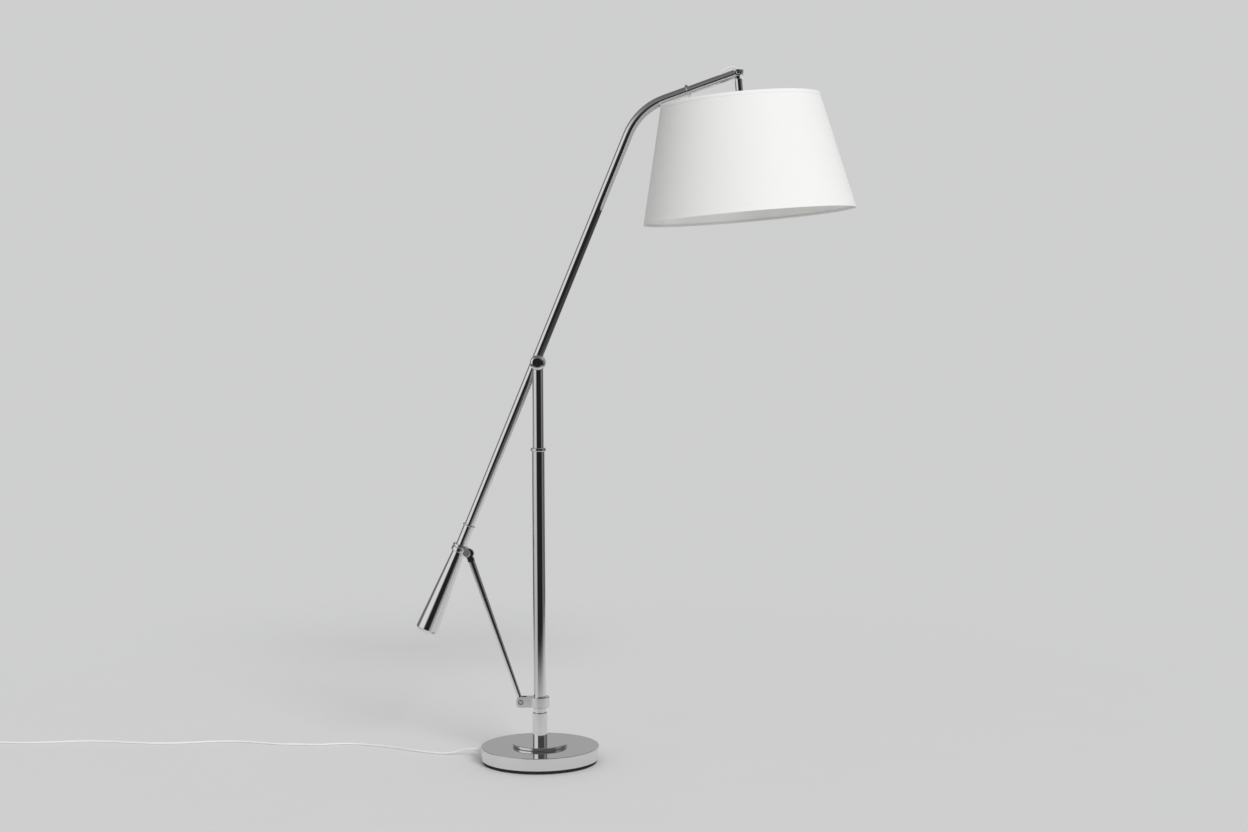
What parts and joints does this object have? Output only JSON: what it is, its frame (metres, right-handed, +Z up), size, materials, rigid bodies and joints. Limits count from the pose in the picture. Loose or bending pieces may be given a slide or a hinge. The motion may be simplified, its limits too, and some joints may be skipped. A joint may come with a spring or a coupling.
{
  "type": "floor lamp",
  "caption": "Adjustable floor lamp with a weighted round base, telescoping column, stay-linked counterweighted arm and tilting fabric drum shade.",
  "frame": {"origin": "centre of the round base on the floor", "axes": "+Z up the column, +X towards the shade in the plane the arm swings in, +Y towards the back"},
  "size_m": [2.4506, 0.6265, 1.8123],
  "materials": {
    "chrome": "polished",
    "steel": "zinc plated",
    "iron": "as cast, painted",
    "foot": "matte",
    "nylon": "satin",
    "black_plastic": "satin",
    "flex": "clear jacket",
    "cord": "satin",
    "brass": "bright",
    "opal_glass": "opal",
    "shade_fabric": "woven linen on a stiff liner",
    "wire": "white enamel"
  },
  "bodies": {
    "base": {"foot_pad": "foot", "bottom_plate": "steel", "plate_screws": "steel", "ballast": "iron", "base_shell": "chrome", "centre_disc": "chrome", "nipple": "steel", "nipple_nut": "steel", "column_foot": "steel", "socket_tube": "chrome", "socket_ring": "chrome", "column_tube": "chrome", "column_ring": "chrome", "column_flex": "flex", "strain_relief": "cord", "cord_lead": "cord", "cord_coil": "cord", "cord_tail": "cord", "plug_body": "cord", "plug_pins": "brass"},
    "stay_collar_body": {"stay_collar": "chrome", "collar_bush": "nylon", "clevis_pin": "chrome", "clevis_nut": "steel"},
    "stay": {"stay_lower_eye": "chrome", "stay_rod": "chrome", "stay_knuckle": "chrome"},
    "arm": {"arm_hub": "chrome", "hub_cap": "chrome", "arm_tube": "chrome", "arm_flex": "flex", "arm_ring": "chrome", "weight_sleeve": "chrome", "sleeve_ring": "chrome", "weight_collar": "chrome", "stay_pin": "chrome", "weight_shell": "chrome", "weight_core": "iron", "weight_cap": "chrome"},
    "riser": {"riser_tube": "chrome", "riser_flex": "flex", "pivot_head": "chrome", "pivot_cap": "chrome", "pivot_stud": "steel", "pivot_washer": "nylon"},
    "arm_end": {"end_tube": "chrome", "end_knuckle": "chrome", "tilt_pin": "chrome", "flex_loop": "flex"},
    "knob": {"tilt_knob": "chrome"},
    "shade_head": {"stem_yoke": "chrome", "stem_tube": "chrome", "lampholder": "black_plastic", "shade_ring_nut": "black_plastic", "shade_spider": "wire", "shade_wires": "wire", "shade": "shade_fabric", "bulb_base": "steel", "bulb_glass": "opal_glass"},
    "switch": {"switch_key": "black_plastic"}
  },
  "joints": [
    {"name": "column_swivel", "type": "hinge", "parent": "base", "child": "stay_collar_body", "pos_m": [0, 0, 0.158], "axis": [0, 0, 1], "range_deg": [-170, 170]},
    {"name": "stay_lower_hinge", "type": "hinge", "parent": "stay_collar_body", "child": "stay", "pos_m": [-0.0495, 0, 0.158], "axis": [0, 1, 0], "range_deg": [-18, 8]},
    {"name": "stay_upper_hinge", "type": "hinge", "parent": "stay", "child": "arm", "pos_m": [-0.189, 0, 0.54955], "axis": [0, 1, 0], "range_deg": [-15, 33]},
    {"name": "arm_pivot", "type": "hinge", "parent": "arm", "child": "riser", "pos_m": [0, 0, 1.046], "axis": [0, 1, 0], "range_deg": [-15, 7]},
    {"name": "arm_extension", "type": "slide", "parent": "arm", "child": "arm_end", "axis": [0.9421, 0, 0.3355], "range_m": [-0.008, 0.035]},
    {"name": "shade_tilt", "type": "hinge", "parent": "arm_end", "child": "shade_head", "pos_m": [0.52308, 0.034, 1.79522], "axis": [0, 1, 0], "range_deg": [-25, 0]},
    {"name": "tilt_knob_turn", "type": "hinge", "parent": "arm_end", "child": "knob", "pos_m": [0.52308, 0.034, 1.79682], "axis": [1, 0, 0], "range_deg": [-180, 180]},
    {"name": "switch_turn", "type": "hinge", "parent": "shade_head", "child": "switch", "pos_m": [0.53238, 0.034, 1.67959], "axis": [0, 1, 0], "range_deg": [0, 90]}
  ],
  "couplings": [
    {"joint": "stay_upper_hinge", "follows": "stay_lower_hinge", "ratio": -1.7807},
    {"joint": "arm_pivot", "follows": "stay_lower_hinge", "ratio": 0.7807}
  ]
}
